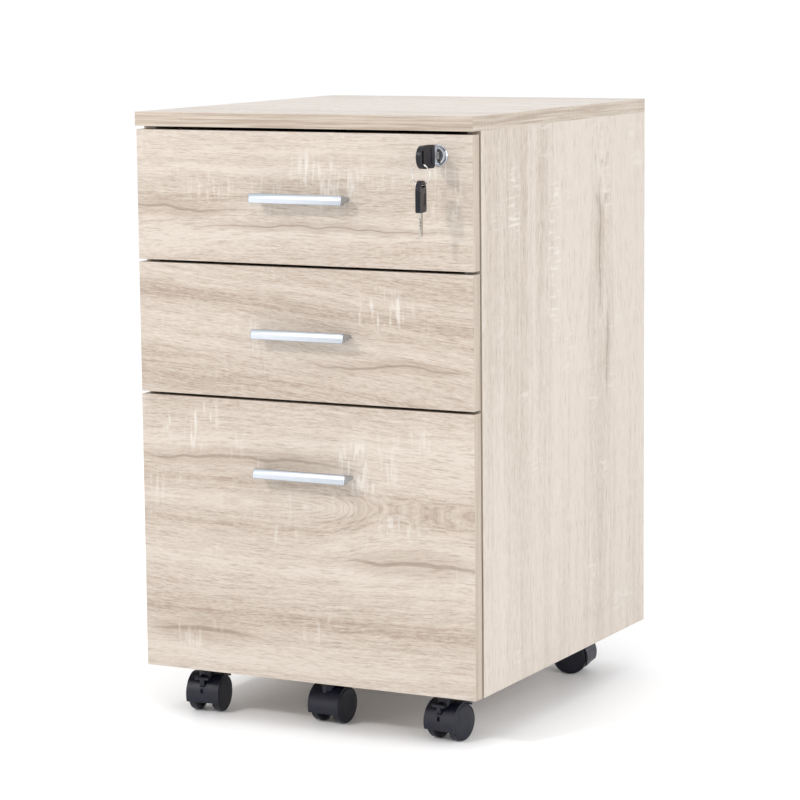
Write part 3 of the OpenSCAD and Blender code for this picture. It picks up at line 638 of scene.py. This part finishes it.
def dress_boards():
    for drawer, look in front_looks().items():
        dress(f"{drawer}_drawer_front",
            oak_material(f"oak_{drawer}_front", "y", "x", band_contrast=0.5, **look))
        soften(f"{drawer}_drawer_front", BOARD_EDGE, flatten=True)
    # The top's gain is painted light: the top is made paler to stand in for the light and sheen it
    # catches from above.
    dress("top_panel", oak_material("oak_top", "z", "x", 2.7, 0.05, tip=0.05, gain=0.02,
        rough=(0.27, 0.35)))
    # The right side's gain is painted light: the side is made paler to stand in for the strong
    # light that falls on it from the right.
    dress("right_side_panel", oak_material("oak_right_side", "x", "z", 5.2, 0.12, tip=0.45,
        sawn=((0.5, 0.0, 0.12, 0.02), (0.56, -0.1, 0.05, 0.02)),
        veins=((0.5, 0.12, 0.09, 0.016), (0.38, 0.14, 0.06, 0.01)),
        band_contrast=0.5, gain=0.05))
    dress("left_side_panel", oak_material("oak_left_side", "x", "z", 11.9, -0.05, tip=0.3,
        sawn=((0.4, 0.08, 0.08, 0.03),), band_contrast=0.5))
    dress("back_panel", oak_material("oak_back", "y", "z", 15.4, 0.06, tip=0.25,
        sawn=((0.3, -0.08, 0.08, 0.03),), band_contrast=0.5))
    bottom = oak_material("oak_bottom", "z", "x", 19.2, 0.0)
    dress("bottom_panel", bottom)
    dress("centre_caster_block", bottom)
    for node in ("top_panel", "right_side_panel", "left_side_panel"):
        soften(node, BOARD_EDGE, flatten=True)


def dress_rest():
    drawer_board = board_material("drawer_board")
    zinc = metal_material("zinc", srgb(176, 178, 182), srgb(200, 202, 206), 0.3, 0.45,
        (300, 300, 300))
    rail = metal_material("rail_steel", srgb(170, 173, 178), srgb(196, 198, 202), 0.28, 0.42,
        (700, 20, 700))
    aluminium = metal_material("handle_aluminium", srgb(178, 184, 191), srgb(185, 190, 197),
        0.3, 0.38, (20, 1500, 1500), 0.06)
    bar = metal_material("bar_aluminium", srgb(190, 192, 196), srgb(212, 214, 218), 0.3, 0.45,
        (600, 600, 20))
    chrome = metal_material("lock_chrome", srgb(158, 162, 170), srgb(180, 184, 191), 0.06, 0.12,
        (500, 500, 500), 0.03)
    wire = metal_material("key_steel", srgb(180, 178, 172), srgb(205, 203, 198), 0.2, 0.3,
        (800, 800, 800))
    black_steel = plastic_material("black_steel", srgb(26, 26, 28), srgb(36, 36, 38), 0.4, 0.55)
    hood = plastic_material("caster_plastic", srgb(11, 13, 25), srgb(17, 20, 35), 0.42, 0.52)
    wheel = plastic_material("wheel_plastic", srgb(8, 10, 22), srgb(13, 16, 30), 0.38, 0.5)
    key_low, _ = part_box("key")
    _, spare_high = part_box("spare_key")
    key = key_material("key_plastic", "y", key_low.y + BOW_LENGTH, False)
    spare = key_material("spare_key_plastic", "z", spare_high.z - BOW_LENGTH, True)
    white = plastic_material("white_plastic", srgb(214, 214, 210), srgb(226, 226, 222), 0.4, 0.5)
    grey = plastic_material("grey_plastic", srgb(92, 93, 96), srgb(108, 109, 112), 0.45, 0.6)
    beech = beech_material("beech")
    for drawer in DRAWERS:
        for part in ("left_wall", "right_wall", "back_wall", "base"):
            dress(f"{drawer}_drawer_{part}", drawer_board)
        make_handle(drawer, aluminium)
        dress(f"{drawer}_drawer_rails", rail)
        dress(f"{drawer}_sliding_rails", rail)
        dress(f"{drawer}_drawer_fasteners", zinc)
    for node, material in (("cam_nuts", zinc), ("cam_bolts", zinc), ("wooden_dowels", beech),
            ("cabinet_rails", rail), ("cabinet_screws", zinc), ("caster_plates", black_steel),
            ("centre_caster_plate", black_steel), ("lock_bar_guides", white),
            ("lock_bar", bar), ("hanging_file_rails", grey), ("lock_housing", chrome),
            ("lock_plug", chrome), ("key", key), ("key_ring", wire), ("spare_key", spare)):
        dress(node, material)
    for node in ("key", "spare_key"):
        soften(node, KEY_EDGE, segments=3)
    for caster in CASTERS:
        dress(f"{caster}_hood", hood)
        dress(f"{caster}_wheels", wheel)
        if caster.startswith("front"):
            dress(f"{caster}_brake_pedal", hood)
            soften(f"{caster}_brake_pedal", PEDAL_EDGE)
        else:
            soften(f"{caster}_hood", HOOD_EDGE)


make_camera()
make_light()
make_floor()
dress_boards()
dress_rest()
